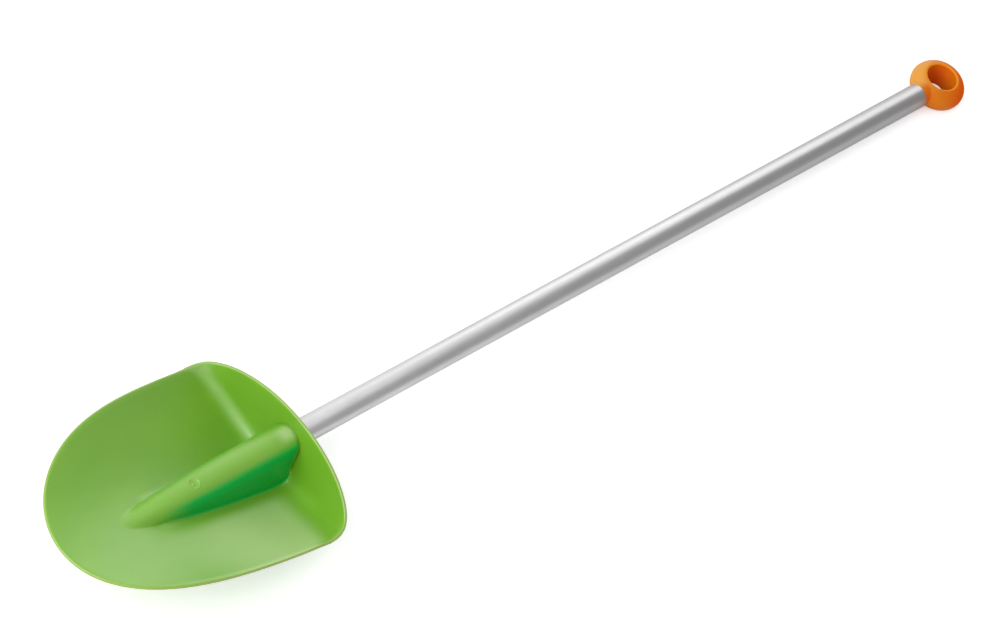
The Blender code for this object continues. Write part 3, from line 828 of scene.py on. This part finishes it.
ringKnob = makeKnob()
ringKnob.name = "ringKnob"
layDown(ringKnob)
for vertex in ringKnob.data.vertices:
    vertex.co.z = max(vertex.co.z, 0.0)      # rubbed flat where it rests
tidyMesh(ringKnob, 0.000002, 60)
print("stage: knob made,", len(ringKnob.data.polygons), "faces")


def newFinish(name):
    material = bpy.data.materials.new(name)
    material.use_nodes = True
    return material, material.node_tree, material.node_tree.nodes["Principled BSDF"]


def objectPoints(tree, stretch):
    place = tree.nodes.new("ShaderNodeTexCoord")
    mapping = tree.nodes.new("ShaderNodeMapping")
    mapping.inputs["Scale"].default_value = stretch
    tree.links.new(place.outputs["Object"], mapping.inputs["Vector"])
    return mapping.outputs["Vector"]


def noise(tree, points, scale, detail, rough):
    node = tree.nodes.new("ShaderNodeTexNoise")
    node.inputs["Scale"].default_value = scale
    node.inputs["Detail"].default_value = detail
    node.inputs["Roughness"].default_value = rough
    tree.links.new(points, node.inputs["Vector"])
    return node.outputs["Fac"]


def spread(tree, value, low, high, toLow, toHigh):
    node = tree.nodes.new("ShaderNodeMapRange")
    for name, number in (("From Min", low), ("From Max", high), ("To Min", toLow), ("To Max", toHigh)):
        node.inputs[name].default_value = number
    tree.links.new(value, node.inputs["Value"])
    return node.outputs["Result"]


def mixColours(tree, share, first, second):
    node = tree.nodes.new("ShaderNodeMix")
    node.data_type = "RGBA"
    for socket, colour in ((node.inputs[6], first), (node.inputs[7], second)):
        if isinstance(colour, tuple):
            socket.default_value = (*colour, 1.0)
        else:
            tree.links.new(colour, socket)
    tree.links.new(share, node.inputs[0])
    return node.outputs[2]


def attribute(tree, name):
    node = tree.nodes.new("ShaderNodeAttribute")
    node.attribute_name = name
    return node.outputs["Fac"]


def bump(tree, height, strength, distance, normal=None):
    node = tree.nodes.new("ShaderNodeBump")
    node.inputs["Strength"].default_value = strength
    node.inputs["Distance"].default_value = distance
    tree.links.new(height, node.inputs["Height"])
    if normal is not None:
        tree.links.new(normal, node.inputs["Normal"])
    return node.outputs["Normal"]


greenPlastic = {"colour": (0.172, 0.404, 0.017), "deep": (0.152, 0.375, 0.015), "scuff": (0.28, 0.48, 0.10),
                # then a painted highlight (paler sheen), a painted shade (deep green of the ridge's flanks)
                # and the rim's painted highlight
                "paintedShade": (0.004, 0.390, 0.058), "paintedHighlight": (0.355, 0.550, 0.185),
                "rim": (0.275, 0.370, 0.042),
                "roughLow": 0.36, "roughHigh": 0.44, "gloss": 1.0, "shadeGloss": 0.10,
                "glow": 0.20, "glowRadius": (0.2, 1.0, 0.3), "glowScale": 0.003}


mouldedSkin = {"flow": (9.0, 26.0, 26.0),            # slow colour drift along the flow
               "grain": 2600.0, "peel": 340.0,       # fine grain and soft orange peel
               "scratches": (900.0, 60.0, 240.0),
               "scratchFrom": 0.72, "scratchTo": 0.80, "scratchShare": 0.35,
               "peelHeight": 0.00012, "peelStrength": 0.10, "grainHeight": 0.00003, "grainStrength": 0.12}


def mouldedPlastic(name, values):
    s = mouldedSkin
    material, tree, shader = newFinish(name)
    points = objectPoints(tree, (1.0, 1.0, 1.0))
    flow = noise(tree, objectPoints(tree, s["flow"]), 1.0, 3.0, 0.5)
    grain = noise(tree, points, s["grain"], 3.0, 0.6)
    peel = noise(tree, points, s["peel"], 2.0, 0.5)
    scratches = noise(tree, objectPoints(tree, s["scratches"]), 1.0, 4.0, 0.7)
    tone = mixColours(tree, spread(tree, flow, 0.35, 0.65, 0.0, 1.0), values["deep"], values["colour"])
    # painted highlight, painted shade and the rim's painted highlight are laid over the tone
    for mark in ("paintedHighlight", "paintedShade", "rim"):
        tone = mixColours(tree, attribute(tree, mark), tone, values[mark])
    scratched = spread(tree, scratches, s["scratchFrom"], s["scratchTo"], 0.0, s["scratchShare"])
    tree.links.new(mixColours(tree, scratched, tone, values["scuff"]), shader.inputs["Base Color"])
    rough = spread(tree, peel, 0.3, 0.7, values["roughLow"], values["roughHigh"])
    tree.links.new(rough, shader.inputs["Roughness"])
    relief = bump(tree, peel, s["peelStrength"], s["peelHeight"])
    relief = bump(tree, grain, s["grainStrength"], s["grainHeight"], relief)
    tree.links.new(relief, shader.inputs["Normal"])
    shader.inputs["IOR"].default_value = 1.49
    # the painted shade also loses most of its gloss
    gloss = spread(tree, attribute(tree, "paintedShade"), 0.0, 1.0, values["gloss"], values["shadeGloss"])
    tree.links.new(gloss, shader.inputs["Specular IOR Level"])
    shader.inputs["Subsurface Weight"].default_value = values["glow"]
    shader.inputs["Subsurface Radius"].default_value = values["glowRadius"]
    shader.inputs["Subsurface Scale"].default_value = values["glowScale"]
    return material


orangePlastic = {"colour": (0.660, 0.175, 0.004), "deep": (0.610, 0.150, 0.003), "scuff": (0.80, 0.33, 0.08),
                 # then a painted shade for the knob's shaded side and hole, a painted highlight for its lit
                 # side, and a painted highlight for its lip
                 "paintedShade": (0.730, 0.110, 0.006), "paintedHighlight": (0.740, 0.330, 0.055),
                 "rim": (0.800, 0.270, 0.010),
                 "roughLow": 0.36, "roughHigh": 0.44, "gloss": 0.14, "shadeGloss": 0.0,
                 "glow": 0.12, "glowRadius": (1.0, 0.45, 0.1), "glowScale": 0.002}

bareMetal = {"colour": (0.775, 0.77, 0.77), "dull": (0.69, 0.685, 0.69), "shadeAndStreaks": (0.46, 0.455, 0.46),
             "roughLow": 0.35, "roughHigh": 0.45,
             "farFrom": -0.38, "farTo": 0.47,        # where painted shade darkens it towards the knob
             "drawn": (7.0, 2600.0, 2600.0), "drawnFrom": 0.62, "drawnTo": 0.78, "drawnShare": 0.45,
             "cloud": (30.0, 90.0, 90.0), "speck": 1400.0,
             "drawnHeight": 0.00002, "drawnStrength": 0.10, "speckHeight": 0.00003, "speckStrength": 0.06}


def drawnTube(name, values):
    material, tree, shader = newFinish(name)
    drawn = noise(tree, objectPoints(tree, values["drawn"]), 1.0, 4.0, 0.6)     # lines along the tube
    cloud = noise(tree, objectPoints(tree, values["cloud"]), 1.0, 4.0, 0.6)
    speck = noise(tree, objectPoints(tree, (values["speck"],) * 3), 1.0, 2.0, 0.5)
    tone = mixColours(tree, spread(tree, cloud, 0.35, 0.65, 0.0, 1.0), values["dull"], values["colour"])
    along = tree.nodes.new("ShaderNodeSeparateXYZ")
    tree.links.new(objectPoints(tree, (1.0, 1.0, 1.0)), along.inputs[0])
    # painted shade: the tube is darker towards the knob; the same dark colour also draws the streaks
    shadedTowardsKnob = spread(tree, along.outputs["X"], values["farFrom"], values["farTo"], 0.0, 1.0)
    tone = mixColours(tree, shadedTowardsKnob, tone, values["shadeAndStreaks"])
    streaks = spread(tree, drawn, values["drawnFrom"], values["drawnTo"], 0.0, values["drawnShare"])
    tree.links.new(mixColours(tree, streaks, tone, values["shadeAndStreaks"]), shader.inputs["Base Color"])
    rough = spread(tree, drawn, 0.3, 0.7, values["roughLow"], values["roughHigh"])
    tree.links.new(rough, shader.inputs["Roughness"])
    relief = bump(tree, drawn, values["drawnStrength"], values["drawnHeight"])
    relief = bump(tree, speck, values["speckStrength"], values["speckHeight"], relief)
    tree.links.new(relief, shader.inputs["Normal"])
    shader.inputs["Metallic"].default_value = 1.0
    return material


greenMaterial = mouldedPlastic("greenPlastic", greenPlastic)
orangeMaterial = mouldedPlastic("orangePlastic", orangePlastic)
metalMaterial = drawnTube("bareMetal", bareMetal)
for piece, material, slot, node in (
        (bladeShell, greenMaterial, "green_plastic", "scoop_blade"),
        (socketWebs, greenMaterial, "green_plastic", "scoop_blade"),
        (bareTube, metalMaterial, "satin_aluminium", "shaft_tube"),
        (ringKnob, orangeMaterial, "orange_plastic", "end_knob")):
    piece.data.materials.clear()
    piece.data.materials.append(material)
    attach(piece, "root")
    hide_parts(node)
for name, material in (("scoop_blade", greenMaterial), ("shaft_tube", metalMaterial),
                       ("end_knob", orangeMaterial)):
    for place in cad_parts[name].material_slots:
        place.material = material
print("stage: finishes set")


studio = {"floorSize": 12.0, "floorColour": (0.86, 0.86, 0.86), "floorLift": 0.45, "skyLight": 0.66,
          "aim": (-0.05, 0.0, 0.02),
          "keyPower": 49.0, "keySize": (1.8, 1.8), "keyFrom": (-2.05, 0.35, 1.65),
          "sheenPower": 16.0, "sheenSize": (2.6, 1.9), "sheenFrom": (2.35, 1.55, 1.05),
          "floorDrop": 0.0004, "flagColumns": 36, "flagRows": 8,
          "flagRadius": 2.6, "flagTurn": (-118, 8), "flagRise": (-2, 61), "flagGrey": 0.42}


def makeFloor():
    bpy.ops.object.select_all(action="DESELECT")
    bpy.ops.mesh.primitive_plane_add(size=studio["floorSize"],
                                     location=(0.0, 0.0, -studio["floorDrop"]))
    floor = bpy.context.object
    floor.name = "studioFloor"
    material, tree, shader = newFinish("paleFloor")
    shader.inputs["Base Color"].default_value = (*studio["floorColour"], 1.0)
    shader.inputs["Roughness"].default_value = 0.9
    shader.inputs["Emission Color"].default_value = (1.0, 1.0, 1.0, 1.0)
    rays = tree.nodes.new("ShaderNodeLightPath")
    lift = spread(tree, rays.outputs["Is Camera Ray"], 0.0, 1.0, 0.0, studio["floorLift"])
    tree.links.new(lift, shader.inputs["Emission Strength"])
    floor.data.materials.append(material)


def softBox(name, power, size, place):
    bpy.ops.object.select_all(action="DESELECT")
    bpy.ops.object.light_add(type="AREA", location=place)
    lamp = bpy.context.object
    lamp.name = name
    lamp.data.shape = "RECTANGLE"
    lamp.data.energy = power
    lamp.data.size, lamp.data.size_y = size
    way = Vector(studio["aim"]) - Vector(place)
    lamp.rotation_euler = way.to_track_quat("-Z", "Y").to_euler()


def makeFlag():
    # a curved grey card that only reflections see: it gives the tube its darker band
    s = studio
    bpy.ops.object.select_all(action="DESELECT")
    bpy.ops.mesh.primitive_grid_add(x_subdivisions=s["flagColumns"], y_subdivisions=s["flagRows"], size=2.0)
    flag = bpy.context.object
    flag.name = "greyFlag"
    for vertex in flag.data.vertices:
        turn, rise = (math.radians(start + (end - start) * (place + 1) / 2) for (start, end), place in
                      ((s["flagTurn"], vertex.co.x), (s["flagRise"], vertex.co.y)))
        way = Vector((math.cos(turn) * math.cos(rise), math.sin(turn) * math.cos(rise), math.sin(rise)))
        vertex.co = way * s["flagRadius"]
    material, _, shader = newFinish("greyCard")
    shader.inputs["Base Color"].default_value = (0.0, 0.0, 0.0, 1.0)
    shader.inputs["Specular IOR Level"].default_value = 0.0
    shader.inputs["Emission Color"].default_value = (1.0, 1.0, 1.0, 1.0)
    shader.inputs["Emission Strength"].default_value = s["flagGrey"]
    flag.data.materials.append(material)
    flag.visible_camera = False
    flag.visible_diffuse = False
    flag.visible_shadow = False
    flag.visible_transmission = False


def makeSky():
    # white where the camera, a gloss or a clear piece looks at it, softer as a light
    world = bpy.data.worlds.new("paleSky")
    bpy.context.scene.world = world
    world.use_nodes = True
    tree = world.node_tree
    back = tree.nodes["Background"]
    back.inputs["Color"].default_value = (1.0, 1.0, 1.0, 1.0)
    rays = tree.nodes.new("ShaderNodeLightPath")
    seen = None
    for name in ("Is Camera Ray", "Is Glossy Ray", "Is Transmission Ray"):
        if seen is None:
            seen = rays.outputs[name]
            continue
        most = tree.nodes.new("ShaderNodeMath")
        most.operation = "MAXIMUM"
        tree.links.new(seen, most.inputs[0])
        tree.links.new(rays.outputs[name], most.inputs[1])
        seen = most.outputs[0]
    tree.links.new(spread(tree, seen, 0.0, 1.0, studio["skyLight"], 1.0), back.inputs["Strength"])


# the photograph's view: the camera's own ways in the tool's axes, and where the tool is from it
photoView = {"right": (0.701388, -0.626365, 0.340178), "down": (-0.382153, -0.733320, -0.562317),
             "forward": (0.601675, 0.264402, -0.753710), "offset": (-0.124112, 0.073637, 5.801957),
             "focalPixels": 7722.3, "imageWidth": 1000, "sensor": 36, "farthest": 60}


def makeCamera():
    v = photoView
    right, down, forward, offset = (Vector(v[name]) for name in ("right", "down", "forward", "offset"))
    place = -(right * offset.x + down * offset.y + forward * offset.z)
    turn = Matrix((right, -down, -forward)).transposed().to_4x4()
    bpy.ops.object.camera_add()
    camera = bpy.context.object
    camera.name = "photoCamera"
    camera.matrix_world = toolToFloor @ Matrix.Translation(place) @ turn
    camera.data.lens = v["focalPixels"] / v["imageWidth"] * v["sensor"]
    camera.data.sensor_width = v["sensor"]
    camera.data.clip_end = v["farthest"]
    bpy.context.scene.camera = camera


makeFloor()
softBox("keyBox", studio["keyPower"], studio["keySize"], studio["keyFrom"])
softBox("sheenBox", studio["sheenPower"], studio["sheenSize"], studio["sheenFrom"])
makeFlag()
makeSky()
makeCamera()
bpy.context.scene.view_settings.view_transform = "Standard"
print("stage: light and camera set")
